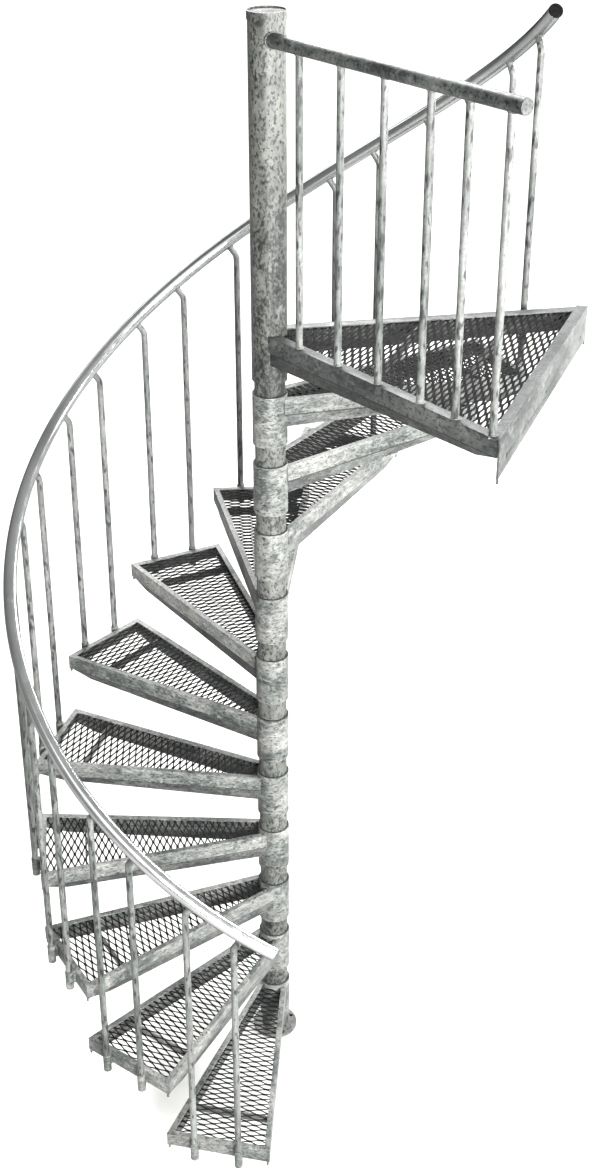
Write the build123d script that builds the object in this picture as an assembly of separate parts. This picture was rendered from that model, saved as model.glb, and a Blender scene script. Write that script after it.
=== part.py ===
from build123d import *
import math
import os

# Spiral stair in galvanised steel: eleven treads and a landing around a column.
# Millimetres, +Z up, origin at the centre of the base plate's underside.
# It climbs clockwise as seen from above, and the landing's floor side faces +X.

# Climb
rise = 233
tread_count = 11
step_angle = 23.4
landing_rise = 210

# Column
column_radius = 47.5
column_wall = 5
sleeve_radius = 54
sleeve_clearance = 0.3
sleeve_length = 166
base_radius = 80
base_thickness = 12
base_hole_radius = 7
base_hole_circle = 132
base_hole_count = 4
post_start_above_last_sleeve = 44
post_above_guard = 71
cap_overhang = 2.5
cap_height = 24
cap_disc_thickness = 4
cap_recess = 5
cap_rim = 4

# Steel sections of treads and landing
bar_thickness = 5
bar_depth = 50
tread_lip_width = 18
lip_thickness = 4
cheek_overlap = 12
cheek_hub_depth = 92
cheek_outer_depth = 71
cheek_chamfer_length = 85
cheek_end_depth = 52
bar_end_gap = 2
mesh_thickness = 3
mesh_edge_gap = 1
mesh_hub_gap = 4
mesh_border = 7
mesh_pitch_outward = 94
mesh_pitch_across = 137
mesh_strand_width = 13
mesh_smallest_share = 0.25
brace_depth = 30
brace_thickness = 5
tab_width = 6
tab_drop = 14
tab_inset = 4

# Treads
tread_drop = 11
tread_reach = 808
tread_outer_width = 351
tread_hub_offset = 43.5
tread_brace_reach = 655

# Landing
landing_reach = 846
landing_outer_width = 1078
landing_hub_offset = 37
landing_lag_angle = 20.25
landing_plate_depth = 110
landing_lip_width = 34
landing_brace_reaches = (400, 640)
floor_hole_radius = 7
floor_hole_count = 3
floor_hole_end = 85
floor_hole_drop = 75

# Balusters and handrail
baluster_radius = 10.65
socket_radius = 13.5
socket_length = 67
socket_stand_off = 6
lug_width = 12
cope_clearance = 0.1
baluster_half_spacing = 75
neck_bend_radius = 35
neck_mitre_count = 2
neck_tail = 48
rail_radius = 21.2
rail_wall = 2.6
rail_outset = 3
rail_height = 978
rail_start_step = 0.42
rail_end_step = 11.44
plug_length = 5
plug_stem_length = 18
plug_clearance = 0.3

# Guard along the landing's near edge
guard_height = 850
guard_inset = 15
guard_overhang = 2
guard_disc_thickness = 4
guard_first_place = 168
guard_inner_pitch = 172
guard_inner_count = 4
guard_outer_pitch = 140
guard_outer_count = 2
guard_last_to_end = 44

# Sizes that follow from the ones above
last_sleeve_top = tread_count * rise
landing_top = last_sleeve_top - tread_drop + landing_rise
post_bottom = last_sleeve_top + post_start_above_last_sleeve
post_top = landing_top + guard_height + post_above_guard
post_shoulder = post_top - cap_recess - cap_disc_thickness
baluster_reach = tread_reach + socket_stand_off + socket_radius
baluster_circle = math.hypot(baluster_reach, baluster_half_spacing)
rail_circle = baluster_circle + rail_outset
rail_slope = math.degrees(math.atan(rise / (rail_circle * math.radians(step_angle))))
neck_shift = neck_bend_radius * (1 - math.cos(math.radians(rail_slope)))
neck_shift += neck_tail * math.sin(math.radians(rail_slope))
neck_rise = neck_bend_radius * math.sin(math.radians(rail_slope))
neck_rise += neck_tail * math.cos(math.radians(rail_slope))
first_tread_angle = tread_count * step_angle + landing_lag_angle


def flare_angle(reach, outer_width, hub_offset):
    # Angle between a side bar and the centre line of its tread.
    corner = math.hypot(reach, outer_width / 2)
    return math.degrees(math.atan2(outer_width / 2, reach) - math.asin(hub_offset / corner))


def side_plane(flare, offset):
    # Upright plane of a side bar's outer face: x runs outward, y up, z inward.
    angle = math.radians(flare)
    along = Vector(math.cos(angle), math.sin(angle), 0)
    outward = Vector(-math.sin(angle), math.cos(angle), 0)
    return Plane(origin=outward * offset, x_dir=along, z_dir=outward * -1)


def upright_strip(plane, start, end, low, high, thickness):
    # Flat bar standing in the plane, from start to end and from low to high.
    outline = Polyline((start, low), (end, low), (end, high), (start, high), close=True)
    return extrude(plane * make_face(outline), thickness)


def cheek_plate(plane, start, end):
    # Tapered support plate under a side bar, with its outer end cut at a slant.
    top = -(bar_depth - cheek_overlap)
    outline = Polyline(
        (start, top),
        (start, -cheek_hub_depth),
        (end - cheek_chamfer_length, -cheek_outer_depth),
        (end, -cheek_end_depth),
        (end, top),
        close=True,
    )
    return extrude(plane * make_face(outline), bar_thickness)


def side_assembly(reach, outer_width, hub_offset, lip_width):
    # Front side bar with its lip and the tapered cheek behind it, top edge at zero.
    flare = flare_angle(reach, outer_width, hub_offset)
    end = math.sqrt(reach**2 + (outer_width / 2) ** 2 - hub_offset**2)
    inner_face = hub_offset - bar_thickness
    bar_start = math.sqrt(sleeve_radius**2 - inner_face**2) - bar_end_gap
    face = side_plane(flare, hub_offset)
    bar = upright_strip(face, bar_start, end, -bar_depth, 0, bar_thickness)
    lip = upright_strip(face, bar_start, end, -lip_thickness, 0, lip_width)
    cheek = cheek_plate(side_plane(flare, inner_face), bar_start / 2, end - bar_thickness)
    return bar + lip + cheek


def outer_assembly(reach, outer_width, depth, lip_width):
    # Outer plate across the end of a tread, with its lip and two corner tabs.
    plate = Pos(reach - bar_thickness / 2, 0, -depth / 2) * Box(bar_thickness, outer_width, depth)
    lip_place = Pos(reach - lip_width / 2, 0, -lip_thickness / 2)
    lip = lip_place * Box(lip_width, outer_width - 2 * bar_thickness, lip_thickness)
    piece = plate + lip
    for side in (-1, 1):
        place_y = side * (outer_width / 2 - tab_inset - tab_width / 2)
        tab_place = Pos(reach - bar_thickness / 2, place_y, -depth - tab_drop / 2)
        piece += tab_place * Box(bar_thickness, tab_width, tab_drop)
    return piece


def cross_brace(reach, flare, hub_offset):
    # Flat bar on edge under the mesh, from one side bar to the other.
    turn = math.radians(flare)
    half = reach * math.tan(turn) + (hub_offset - bar_thickness) / math.cos(turn)
    top = -lip_thickness - mesh_thickness
    place = Pos(reach, 0, top - brace_depth / 2)
    return place * Box(brace_thickness, 2 * half, brace_depth)


def open_frame(reach, outer_width, hub_offset, plate_depth, lip_width, brace_reaches):
    # Welded frame without its hub: two sides, outer plate and cross braces.
    flare = flare_angle(reach, outer_width, hub_offset)
    side = side_assembly(reach, outer_width, hub_offset, lip_width)
    frame = side + mirror(side, about=Plane.XZ)
    half_length = reach / 2
    room = Pos(half_length, 0, 0) * Box(2 * half_length, 2 * outer_width, 4 * plate_depth)
    frame = frame & room
    frame += outer_assembly(reach, outer_width, plate_depth, lip_width)
    for brace_reach in brace_reaches:
        frame += cross_brace(brace_reach, flare, hub_offset)
    return frame


def mesh_outline(reach, outer_width, hub_offset, start, edge):
    # Tapered face from a start near the hub, the same distance inside both sides and the outer plate.
    flare = math.radians(flare_angle(reach, outer_width, hub_offset))
    end = reach - edge
    hub_y = (hub_offset - edge) / math.cos(flare)
    start_y = hub_y + start * math.tan(flare)
    end_y = hub_y + end * math.tan(flare)
    return make_face(Polyline((start, -start_y), (end, -end_y), (end, end_y), (start, start_y), close=True))


def mesh_openings(reach, outer_width, hub_offset, start, edge):
    # Rows of diamonds, every other row moved by half a diamond, cut off at the panel's border.
    half_out = mesh_pitch_outward / 2
    half_across = mesh_pitch_across / 2
    side_distance = half_out * half_across / math.hypot(half_out, half_across)
    share = 1 - mesh_strand_width / 2 / side_distance
    tip_out, tip_across = half_out * share, half_across * share
    room = mesh_outline(reach, outer_width, hub_offset, start, edge)
    smallest = mesh_smallest_share * 2 * tip_out * tip_across
    corners = [(tip_out, 0), (0, tip_across), (-tip_out, 0), (0, -tip_across)]
    diamond = make_face(Polyline(*corners, close=True))
    last_column = 2 * math.ceil(outer_width / 2 / mesh_pitch_across)
    openings = []
    for row in range(math.ceil(reach / half_out)):
        for column in range(row % 2 - last_column, last_column + 1, 2):
            cut = Pos(row * half_out, column * half_across) * diamond & room
            if cut is not None:
                openings += [face for face in cut.faces() if face.area > smallest]
    return openings


def mesh_panel(reach, outer_width, hub_offset):
    # Panel of expanded metal with coarse openings, lying under the lips and clear of the hub.
    edge = bar_thickness + mesh_edge_gap
    hub_radius = sleeve_radius + mesh_hub_gap
    sheet = mesh_outline(reach, outer_width, hub_offset, 0, edge)
    panel = extrude(sheet, mesh_thickness) - Cylinder(hub_radius, 4 * mesh_thickness)
    opened_edge = edge + mesh_border
    start = hub_radius + mesh_border
    for opening in mesh_openings(reach, outer_width, hub_offset, start, opened_edge):
        panel -= extrude(opening, mesh_thickness)
    return Pos(0, 0, -lip_thickness - mesh_thickness) * panel


def sleeve(top):
    # Hub sleeve around the column.
    bore = Cylinder(column_radius + sleeve_clearance, 2 * sleeve_length)
    return Pos(0, 0, top - sleeve_length / 2) * (Cylinder(sleeve_radius, sleeve_length) - bore)


def baluster_socket(side):
    # Round socket on a lug outside the outer plate, which carries a baluster.
    place_y = side * baluster_half_spacing
    lug_length = socket_stand_off + socket_radius
    lug_place = Pos(tread_reach + lug_length / 2, place_y, -bar_depth / 2)
    socket_place = Pos(baluster_reach, place_y, -socket_length / 2)
    lug = lug_place * Box(lug_length, lug_width, bar_depth)
    return lug + socket_place * Cylinder(socket_radius, socket_length)


def tread_frame():
    # One tread without its mesh, around the origin, with its top edge at zero.
    frame = open_frame(
        tread_reach, tread_outer_width, tread_hub_offset, bar_depth, tread_lip_width, (tread_brace_reach,)
    )
    frame -= Cylinder(sleeve_radius - column_wall / 2, 4 * sleeve_length)
    frame += sleeve(tread_drop)
    for side in (-1, 1):
        frame += baluster_socket(side)
    return frame


def rail_point(step):
    # Angle and height of the handrail's centre line at a step count.
    return first_tread_angle - (step - 1) * step_angle, step * rise + rail_height


def rail_plane(step):
    # Plane across the handrail, its z along the rail in the climbing direction.
    angle, height = rail_point(step)
    turn = math.radians(angle)
    slope = math.radians(rail_slope)
    origin = Vector(rail_circle * math.cos(turn), rail_circle * math.sin(turn), height)
    ahead = Vector(math.sin(turn), -math.cos(turn), 0) * math.cos(slope)
    outward = Vector(math.cos(turn), math.sin(turn), 0)
    return Plane(origin=origin, x_dir=outward, z_dir=ahead + Vector(0, 0, math.sin(slope)))


def baluster_turn(tread, side):
    # Angle of a baluster about the column.
    tread_turn = first_tread_angle - (tread - 1) * step_angle
    return tread_turn + side * math.degrees(math.atan2(baluster_half_spacing, baluster_reach))


def joint_step(tread, side):
    # Step count at which a baluster's neck meets the handrail.
    turn = baluster_turn(tread, side) + math.degrees(math.atan2(neck_shift, baluster_circle))
    return 1 + (first_tread_angle - turn) / step_angle


def halfway_steps(steps):
    return [(first + second) / 2 for first, second in zip(steps, steps[1:])]


def rail_corner(step, half_gap):
    # Point where two runs meet that touch the helix this many steps before and after it.
    angle, height = rail_point(step)
    circle = rail_circle / math.cos(math.radians(half_gap * step_angle))
    turn = math.radians(angle)
    return circle * math.cos(turn), circle * math.sin(turn), height


def rail_corners():
    # Corners of the rail's short straight runs, each touching the helix at a baluster or between two.
    joints = sorted(joint_step(tread, side) for tread in range(1, tread_count + 1) for side in (-1, 1))
    touching = sorted(joints + halfway_steps(joints) + [rail_start_step, rail_end_step])
    corners = [rail_corner(rail_start_step, 0)]
    for before, after in zip(touching, touching[1:]):
        corners.append(rail_corner((before + after) / 2, (after - before) / 2))
    return corners + [rail_corner(rail_end_step, 0)]


def rail_end_plane():
    # Plane across the handrail's upper end, its z out of the end.
    before_last, last = rail_corners()[-2:]
    return Plane(origin=last, z_dir=Vector(last) - Vector(before_last))


def handrail():
    # Rolled rail, bored at its upper end for the plug.
    path = Polyline(*rail_corners())
    section = Plane(origin=path @ 0, z_dir=path % 0) * Circle(rail_radius)
    rail = sweep(section, path=path, transition=Transition.RIGHT)
    bore = rail_end_plane() * Circle(rail_radius - rail_wall)
    return rail - extrude(bore, -(plug_stem_length + plug_clearance))


def end_plug():
    # Plastic plug in the handrail's upper end.
    plane = rail_end_plane()
    head = extrude(plane * Circle(rail_radius), plug_length)
    return head + extrude(plane * Circle(rail_radius - rail_wall - plug_clearance), -plug_stem_length)


def neck_corners():
    # Corners of a neck's bend in its upright plane: downhill, and up from the start of the bend.
    half_turn = math.radians(rail_slope / neck_mitre_count / 2)
    reach = neck_bend_radius / math.cos(half_turn)
    corners = []
    for number in range(neck_mitre_count):
        turn = (2 * number + 1) * half_turn
        corners.append((neck_bend_radius - reach * math.cos(turn), reach * math.sin(turn)))
    return corners


def baluster(tread, side):
    # Upright bar whose neck bends downhill and meets the rail squarely from below.
    turn = math.radians(baluster_turn(tread, side))
    step = joint_step(tread, side)
    joint_height = rail_point(step)[1]
    foot = tread * rise - tread_drop
    bend = joint_height - neck_rise
    radial = Vector(math.cos(turn), math.sin(turn), 0)
    downhill = Vector(-radial.Y, radial.X, 0)
    plane = Plane(origin=radial * baluster_circle, x_dir=downhill, z_dir=radial)
    corners = [(0, foot)] + [(shift, bend + height) for shift, height in neck_corners()]
    path = plane * Polyline(*corners, (neck_shift, joint_height))
    section = Plane(origin=path @ 0) * Circle(baluster_radius)
    bar = sweep(section, path=path, transition=Transition.RIGHT)
    cope = extrude(rail_plane(step) * Circle(rail_radius + cope_clearance), 3 * rail_radius, both=True)
    return bar - cope


def base_plate():
    plate = Pos(0, 0, base_thickness / 2) * Cylinder(base_radius, base_thickness)
    for place in PolarLocations(base_hole_circle / 2, base_hole_count, start_angle=45):
        plate -= place * Pos(0, 0, base_thickness / 2) * Cylinder(base_hole_radius, 2 * base_thickness)
    return plate


def centre_column():
    # Tube welded to the base plate, which runs up into the top post.
    height = landing_top - base_thickness
    tube = Cylinder(column_radius, height) - Cylinder(column_radius - column_wall, 2 * height)
    return base_plate() + Pos(0, 0, base_thickness + height / 2) * tube


def top_post():
    # Post around the column's upper end, closed by a collar with a disc below its rim.
    height = post_shoulder - post_bottom
    post = Pos(0, 0, post_bottom + height / 2) * Cylinder(sleeve_radius, height)
    collar_radius = sleeve_radius + cap_overhang
    post += Pos(0, 0, post_top - cap_height / 2) * Cylinder(collar_radius, cap_height)
    bore_radius = column_radius + sleeve_clearance
    post -= Pos(0, 0, post_bottom + height / 2) * Cylinder(bore_radius, height)
    return post - Pos(0, 0, post_top) * Cylinder(collar_radius - cap_rim, 2 * cap_recess)


def landing_frame():
    # Frame of the triangular landing, with bolt holes in the plate on the floor side.
    frame = open_frame(
        landing_reach,
        landing_outer_width,
        landing_hub_offset,
        landing_plate_depth,
        landing_lip_width,
        landing_brace_reaches,
    )
    frame -= Cylinder(sleeve_radius, 4 * sleeve_length)
    bore = Rot(0, 90, 0) * Cylinder(floor_hole_radius, 4 * bar_thickness)
    first_y = floor_hole_end - landing_outer_width / 2
    pitch = (landing_outer_width - 2 * floor_hole_end) / (floor_hole_count - 1)
    for number in range(floor_hole_count):
        frame -= Pos(landing_reach, first_y + number * pitch, -floor_hole_drop) * bore
    return frame


def guard_plane(place, height):
    # Plane across the guard rail at a place along the landing's near edge, z along the rail.
    flare = flare_angle(landing_reach, landing_outer_width, landing_hub_offset)
    turn = math.radians(-flare)
    along = Vector(math.cos(turn), math.sin(turn), 0)
    outward = Vector(math.sin(turn), -math.cos(turn), 0)
    line = outward * (landing_hub_offset - guard_inset)
    return Plane(origin=line + along * place + Vector(0, 0, height), x_dir=outward, z_dir=along)


def guard_end():
    # Place of the guard rail's outer end along the landing's near edge.
    corner = math.hypot(landing_reach, landing_outer_width / 2)
    return math.sqrt(corner**2 - landing_hub_offset**2) + guard_overhang


def guard_rail():
    # Straight rail from the post over the landing's near edge, closed by a disc.
    plane = guard_plane(0, landing_top + guard_height)
    rail = extrude(plane * Circle(rail_radius), guard_end() + guard_disc_thickness)
    return rail - Pos(0, 0, landing_top + guard_height) * Cylinder(sleeve_radius, 6 * rail_radius)


def guard_balusters():
    # Upright bars from the landing's near edge to the guard rail.
    places = [guard_first_place + number * guard_inner_pitch for number in range(guard_inner_count)]
    last = guard_end() - guard_last_to_end
    places += [last - number * guard_outer_pitch for number in range(guard_outer_count)]
    rail_space = extrude(guard_plane(0, landing_top + guard_height) * Circle(rail_radius), guard_end())
    bars = []
    for place in places:
        section = Plane(origin=guard_plane(place, landing_top).origin) * Circle(baluster_radius)
        bars.append(extrude(section, guard_height) - rail_space)
    return Compound(bars)


def main():
    os.makedirs("parts", exist_ok=True)
    pieces = {
        "centre_column": centre_column(),
        "top_post": top_post(),
        "handrail": handrail(),
        "handrail_end_plug": end_plug(),
        "guard_rail": guard_rail(),
        "guard_balusters": guard_balusters(),
    }
    frame = tread_frame()
    panel = mesh_panel(tread_reach, tread_outer_width, tread_hub_offset)
    for tread in range(1, tread_count + 1):
        turn = first_tread_angle - (tread - 1) * step_angle
        place = Pos(0, 0, tread * rise - tread_drop) * Rot(0, 0, turn)
        pieces[f"tread_frame_{tread:02d}"] = place * frame
        pieces[f"tread_mesh_{tread:02d}"] = place * panel
        pieces[f"balusters_{tread:02d}"] = Compound([baluster(tread, side) for side in (-1, 1)])
    place = Pos(0, 0, landing_top)
    pieces["landing_frame"] = place * landing_frame()
    pieces["landing_mesh"] = place * mesh_panel(landing_reach, landing_outer_width, landing_hub_offset)
    for name, piece in pieces.items():
        export_step(piece, f"parts/{name}.step")


main()
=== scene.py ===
import bpy
import math
from mathutils import Matrix, Vector


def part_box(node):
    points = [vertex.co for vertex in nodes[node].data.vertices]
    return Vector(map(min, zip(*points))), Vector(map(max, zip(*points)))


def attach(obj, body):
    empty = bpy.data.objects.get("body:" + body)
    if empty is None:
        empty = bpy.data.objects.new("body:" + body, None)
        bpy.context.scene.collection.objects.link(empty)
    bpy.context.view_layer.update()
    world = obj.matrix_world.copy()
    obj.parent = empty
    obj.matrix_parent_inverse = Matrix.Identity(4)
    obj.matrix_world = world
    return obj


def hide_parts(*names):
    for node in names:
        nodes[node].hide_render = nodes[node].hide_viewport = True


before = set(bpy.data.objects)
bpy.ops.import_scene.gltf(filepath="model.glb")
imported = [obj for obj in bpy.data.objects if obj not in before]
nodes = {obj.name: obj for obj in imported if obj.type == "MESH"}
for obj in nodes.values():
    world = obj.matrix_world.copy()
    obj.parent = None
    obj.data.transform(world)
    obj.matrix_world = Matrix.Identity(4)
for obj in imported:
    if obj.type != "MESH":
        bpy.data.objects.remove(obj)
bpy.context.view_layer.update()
print("frame loaded:", len(nodes), "nodes")

# The stair's own layout, in metres and degrees
stair = {
    "rise": 0.233,
    "treadCount": 11,
    "stepAngle": 23.4,
    "firstTreadAngle": 277.65,   # of tread 1, as seen from above
    "treadDrop": 0.011,          # sleeve top above the tread's edge
    "treadReach": 0.808,
    "treadWidth": 0.351,
    "treadHubOffset": 0.0435,
    "landingReach": 0.846,
    "landingWidth": 1.078,
    "landingHubOffset": 0.037,
    "barThickness": 0.005,
    "lipThickness": 0.004,
    "sleeveRadius": 0.054,
}
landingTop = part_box("landing_frame")[1].z


def deselectAll():
    if bpy.context.object and bpy.context.object.mode != "OBJECT":
        bpy.ops.object.mode_set(mode="OBJECT")
    bpy.ops.object.select_all(action="DESELECT")


def treadTurn(tread):
    return math.radians(stair["firstTreadAngle"] - (tread - 1) * stair["stepAngle"])


def treadPlace(tread):
    # from a tread's own frame, its top edge at zero and its reach along +X, to the stair
    height = tread * stair["rise"] - stair["treadDrop"]
    return Matrix.Translation((0, 0, height)) @ Matrix.Rotation(treadTurn(tread), 4, "Z")


def startEdit(obj):
    bpy.context.view_layer.objects.active = obj
    obj.select_set(True)
    bpy.ops.object.mode_set(mode="EDIT")


def endEdit():
    bpy.ops.object.mode_set(mode="OBJECT")


def selectWhere(obj, test, kind="VERT"):
    # in edit mode, selects the vertices or faces whose place and normal pass the test
    bpy.ops.mesh.select_mode(type=kind)
    bpy.ops.mesh.select_all(action="DESELECT")
    bpy.ops.object.mode_set(mode="OBJECT")
    if kind == "VERT":
        for vertex in obj.data.vertices:
            vertex.select = test(vertex.co)
    else:
        for face in obj.data.polygons:
            face.select = test(face.center, face.normal)
    bpy.ops.object.mode_set(mode="EDIT")


def applyModifiers(obj):
    deselectAll()
    bpy.context.view_layer.objects.active = obj
    obj.select_set(True)
    for modifier in list(obj.modifiers):
        bpy.ops.object.modifier_apply(modifier=modifier.name)


def settle(obj, place=None):
    # puts the object's own place, and a further one, into its mesh
    obj.data.transform(obj.matrix_basis)
    obj.matrix_basis = Matrix.Identity(4)
    if place:
        obj.data.transform(place)


def copyPiece(source, name, place=None):
    piece = bpy.data.objects.new(name, source.data.copy())
    if place:
        piece.data.transform(place)
    bpy.context.collection.objects.link(piece)
    return piece


def joinPieces(pieces, name):
    deselectAll()
    for piece in pieces:
        piece.select_set(True)
    bpy.context.view_layer.objects.active = pieces[0]
    bpy.ops.object.join()
    pieces[0].name = name
    return pieces[0]


def outwardFaces(obj):
    deselectAll()
    startEdit(obj)
    bpy.ops.mesh.select_all(action="SELECT")
    bpy.ops.mesh.remove_doubles(threshold=0.00002)
    bpy.ops.mesh.normals_make_consistent(inside=False)
    endEdit()


def smoothSides(obj, angle=35):
    deselectAll()
    obj.select_set(True)
    bpy.context.view_layer.objects.active = obj
    bpy.ops.object.shade_smooth_by_angle(angle=math.radians(angle))


def finishPiece(obj, material, replaced=()):
    obj.data.materials.clear()
    obj.data.materials.append(material)
    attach(obj, "root")
    if replaced:
        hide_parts(*replaced)
    return obj


def axisPlace(point, direction):
    # turns +Z to a direction and moves the origin to a point
    turn = Vector(direction).to_track_quat("Z", "Y").to_matrix().to_4x4()
    return Matrix.Translation(point) @ turn


# Materials

def hexLinear(code):
    # sRGB hex to linear, with alpha
    channels = [int(code[i:i + 2], 16) / 255 for i in (1, 3, 5)]
    return [c / 12.92 if c <= 0.04045 else ((c + 0.055) / 1.055) ** 2.4 for c in channels] + [1]


def addNode(tree, kind, settings=None, links=None):
    # adds a node, sets its properties, sockets or ramp stops, and links its inputs
    node = tree.nodes.new(kind)
    for key, value in (settings or {}).items():
        if key == "stops":
            ramp = node.color_ramp
            while len(ramp.elements) < len(value):
                ramp.elements.new(0.5)
            for element, (place, code) in zip(ramp.elements, value):
                element.position = place
                element.color = hexLinear(code)
        elif isinstance(key, str) and hasattr(node, key):
            setattr(node, key, value)
        else:
            node.inputs[key].default_value = value
    for key, output in (links or {}).items():
        tree.links.new(output, node.inputs[key])
    return node


def perMetre(sizeMm):
    # pattern repeats per metre
    return 1000 / sizeMm


def newMaterial(name):
    material = bpy.data.materials.new(name)
    material.use_nodes = True
    tree = material.node_tree
    return material, tree, tree.nodes["Principled BSDF"]


# Hot-dip galvanised steel: mild steel dipped in molten zinc at 450 degrees. The zinc freezes in
# crystals, the spangle, and weathers to mottled greys with darker specks where it has carbonated.
galvanised = {
    "spangleMm": 10,
    "grainMm": 2.5,
    "speckMm": 16,             # specks and dots are drawn larger than the real ones, to show from afar
    "blotchMm": 38,
    "cloudMm": 240,
    "stretch": 2.2,            # above 1 draws the pattern along level bars, below 1 up a post
    "speckShare": 0.55,
    "speckStart": 0.55,
    "speckTone": "#4b4e4c",
    "dotMm": 10,
    "dotShare": 0.7,
    "tones": ("#303231", "#3c3f3d", "#4b4d4b", "#595957", "#686965"),
    "metallic": 0.06,
    "roughness": 0.52,
    "gloss": 0.25,             # specular level, kept low so that shaded faces stay dark
}


def galvanisedSteel(name, look):
    material, tree, shader = newMaterial(name)
    place = addNode(tree, "ShaderNodeTexCoord").outputs["Object"]
    drawn = addNode(tree, "ShaderNodeMapping", {"Scale": (1, 1, look["stretch"])}, {"Vector": place}).outputs[0]
    cloud = addNode(tree, "ShaderNodeTexNoise", {"Scale": perMetre(look["cloudMm"]), "Detail": 3},
                    {"Vector": drawn}).outputs["Fac"]
    blotch = addNode(tree, "ShaderNodeTexNoise",
                     {"Scale": perMetre(look["blotchMm"]), "Detail": 5, "Roughness": 0.65},
                     {"Vector": drawn}).outputs["Fac"]
    speck = addNode(tree, "ShaderNodeTexNoise",
                    {"Scale": perMetre(look["speckMm"]), "Detail": 3, "Roughness": 0.6},
                    {"Vector": drawn}).outputs["Fac"]
    grain = addNode(tree, "ShaderNodeTexNoise", {"Scale": perMetre(look["grainMm"]), "Detail": 2},
                    {"Vector": place}).outputs["Fac"]
    spangle = addNode(tree, "ShaderNodeTexVoronoi", {"Scale": perMetre(look["spangleMm"])}, {"Vector": place})
    # broad tone from cloud and blotch
    tone = addNode(tree, "ShaderNodeMath", {"operation": "MULTIPLY_ADD", 1: 0.55, 2: 0.0},
                   {0: blotch}).outputs[0]
    tone = addNode(tree, "ShaderNodeMath", {"operation": "MULTIPLY_ADD", 1: 0.45},
                   {0: cloud, 2: tone}).outputs[0]
    low, dim, mid, pale, high = look["tones"]
    broad = addNode(tree, "ShaderNodeValToRGB",
                    {"stops": [(0.36, low), (0.44, dim), (0.5, mid), (0.57, pale), (0.66, high)]},
                    {"Fac": tone}).outputs[0]
    # each crystal a little lighter or darker
    facet = addNode(tree, "ShaderNodeRGBToBW", links={"Color": spangle.outputs["Color"]}).outputs[0]
    facetTone = addNode(tree, "ShaderNodeValToRGB", {"stops": [(0.15, "#dedede"), (0.85, "#ffffff")]},
                        {"Fac": facet}).outputs[0]
    crystals = addNode(tree, "ShaderNodeMix", {"data_type": "RGBA", "blend_type": "MULTIPLY", 0: 1.0},
                       {6: broad, 7: facetTone}).outputs[2]
    # dark specks, thicker where the cloud is dark, and finer dots between them
    thick = addNode(tree, "ShaderNodeMath", {"operation": "MULTIPLY_ADD", 1: -0.5},
                    {0: cloud, 2: speck}).outputs[0]
    start = look["speckStart"] - 0.25
    mask = addNode(tree, "ShaderNodeMapRange",
                   {"From Min": start, "From Max": start + 0.06, "To Max": look["speckShare"]},
                   {"Value": thick}).outputs[0]
    speckled = addNode(tree, "ShaderNodeMix", {"data_type": "RGBA", "blend_type": "MULTIPLY",
                                               7: hexLinear(look["speckTone"])},
                       {0: mask, 6: crystals}).outputs[2]
    dots = addNode(tree, "ShaderNodeTexNoise", {"Scale": perMetre(look["dotMm"]), "Detail": 1},
                   {"Vector": drawn}).outputs["Fac"]
    dotMask = addNode(tree, "ShaderNodeMapRange",
                      {"From Min": 0.58, "From Max": 0.64, "To Max": look["dotShare"]},
                      {"Value": dots}).outputs[0]
    colour = addNode(tree, "ShaderNodeMix", {"data_type": "RGBA", "blend_type": "MULTIPLY",
                                             7: hexLinear(look["speckTone"])},
                     {0: dotMask, 6: speckled}).outputs[2]
    rough = addNode(tree, "ShaderNodeMapRange",
                    {"From Min": 0.35, "From Max": 0.65, "To Min": look["roughness"] - 0.1,
                     "To Max": look["roughness"] + 0.12}, {"Value": blotch}).outputs[0]
    bump = addNode(tree, "ShaderNodeBump", {"Strength": 0.4, "Distance": 0.0004}, {"Height": grain}).outputs[0]
    bump = addNode(tree, "ShaderNodeBump", {"Strength": 0.35, "Distance": 0.0008},
                   {"Height": speck, "Normal": bump}).outputs[0]
    bump = addNode(tree, "ShaderNodeBump", {"Strength": 0.3, "Distance": 0.0015},
                   {"Height": blotch, "Normal": bump}).outputs[0]
    tree.links.new(colour, shader.inputs["Base Color"])
    tree.links.new(rough, shader.inputs["Roughness"])
    tree.links.new(bump, shader.inputs["Normal"])
    shader.inputs["Metallic"].default_value = look["metallic"]
    shader.inputs["Specular IOR Level"].default_value = look["gloss"]
    return material


treadSteel = galvanisedSteel("hot-dip galvanised bar", galvanised)

# The landing's plates: drawn darker than the treads' bar, with more specks.
landingSteel = galvanisedSteel("hot-dip galvanised plate", dict(
    galvanised, stretch=1.3, speckShare=0.6, speckStart=0.53, blotchMm=46, metallic=0.05,
    tones=("#232524", "#2c2f2e", "#383a39", "#434543", "#50524f")))

# Cheek plates: hot-rolled plate, whose rougher skin takes a duller coat than the drawn bar.
# Cheek plates: drawn darker than the bar above them, as painted shade under the bars.
shadedCheekSteel = galvanisedSteel("hot-dip galvanised cheek plate, darkened as painted shade", dict(
    galvanised, stretch=3.0, blotchMm=34,
    tones=("#242625", "#2f3030", "#393a39", "#444644", "#525350")))

# The landing's cheek plates: darker still, as painted shade under its bars.
shadedLandingCheekSteel = galvanisedSteel("hot-dip galvanised landing cheek plate", dict(
    galvanised, stretch=2.0, speckShare=0.6, speckStart=0.53, blotchMm=40, metallic=0.06,
    tones=("#1a1b1a", "#212322", "#2a2b2a", "#333533", "#3e403e")))

# Column, sleeves and post: thick tube, dipped upright, so the coat runs downwards.
columnSteel = galvanisedSteel("hot-dip galvanised column tube", dict(
    galvanised, stretch=0.6, speckShare=0.75, speckStart=0.53, speckMm=10, blotchMm=36, dotShare=0.8, dotMm=7,
    tones=("#2b2c2a", "#333532", "#3c3d3b", "#444542", "#4d4e4a")))

# Round bars and rail tube: drawn smooth before dipping, so the spots are finer.
tubeSteel = galvanisedSteel("galvanised round tube", dict(
    galvanised, stretch=0.3, spangleMm=6, speckMm=10, blotchMm=24, speckShare=0.5, metallic=0.05,
    roughness=0.5, tones=("#2d2f2e", "#383b39", "#444544", "#4f514f", "#5b5d5a")))

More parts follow.
